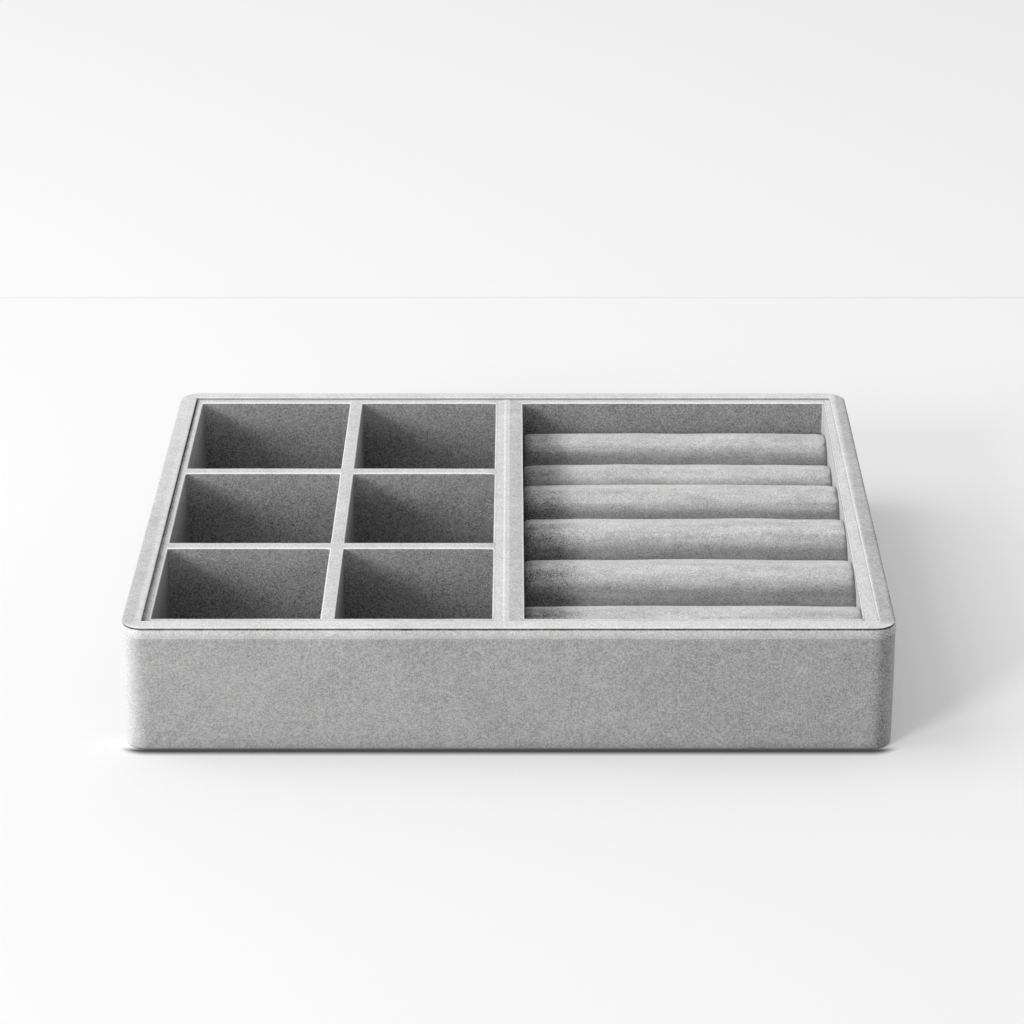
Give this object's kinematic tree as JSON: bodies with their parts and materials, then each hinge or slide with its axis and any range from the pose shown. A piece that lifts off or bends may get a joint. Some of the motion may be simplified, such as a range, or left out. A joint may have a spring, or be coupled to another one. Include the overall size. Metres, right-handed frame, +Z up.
{
  "type": "jewelry organizer",
  "caption": "Low rectangular suede-covered tray with a lift-out insert: square compartments in a grid on one side and padded ring rolls on the other.",
  "frame": {"origin": "middle of the underside", "axes": "+X from the compartments towards the ring rolls, along the longest side; +Y from front to back; +Z up, along the shortest side"},
  "size_m": [0.25, 0.21, 0.0438],
  "materials": {
    "case_suede": "short-nap grey faux suede",
    "case_lining": "thin grey flocked lining",
    "base_paper": "dark grey felt sheet",
    "roll_suede": "soft grey faux suede",
    "pad_suede": "soft grey faux suede over wadding",
    "insert_suede": "short-nap grey faux suede",
    "board": "fibreboard",
    "foam": "open-cell foam"
  },
  "bodies": {
    "case": {"base_board": "board", "front_wall_board": "board", "back_wall_board": "board", "left_wall_board": "board", "right_wall_board": "board", "outer_wrap": "case_suede", "rolled_edge": "case_suede", "rim_trim": "case_suede", "wall_lining": "case_lining", "floor_lining": "case_lining", "base_cover": "base_paper"},
    "insert": {"cross_cover_back_left": "insert_suede", "cross_cover_back_right": "insert_suede", "cross_cover_front_left": "insert_suede", "cross_cover_front_right": "insert_suede", "cross_divider_board_back": "board", "cross_divider_board_front": "board", "floor_pad_back_left": "pad_suede", "floor_pad_back_right": "pad_suede", "floor_pad_front_left": "pad_suede", "floor_pad_front_right": "pad_suede", "floor_pad_middle_left": "pad_suede", "floor_pad_middle_right": "pad_suede", "frame_cover": "insert_suede", "insert_back_board": "board", "insert_floor_board": "board", "insert_floor_lining": "insert_suede", "insert_front_board": "board", "insert_left_board": "board", "insert_right_board": "board", "long_divider_board": "board", "long_divider_cover": "insert_suede", "main_divider_board": "board", "main_divider_cover_left": "insert_suede", "main_divider_cover_right": "insert_suede", "ring_roll_core_1": "foam", "ring_roll_core_2": "foam", "ring_roll_core_3": "foam", "ring_roll_core_4": "foam", "ring_roll_core_5": "foam", "ring_roll_core_6": "foam", "ring_roll_sleeve_1": "roll_suede", "ring_roll_sleeve_2": "roll_suede", "ring_roll_sleeve_3": "roll_suede", "ring_roll_sleeve_4": "roll_suede", "ring_roll_sleeve_5": "roll_suede", "ring_roll_sleeve_6": "roll_suede"}
  },
  "joints": [
    {"name": "insert_lift", "type": "slide", "parent": "case", "child": "insert", "axis": [0, 0, 1], "range_m": [0, 0.05]}
  ]
}
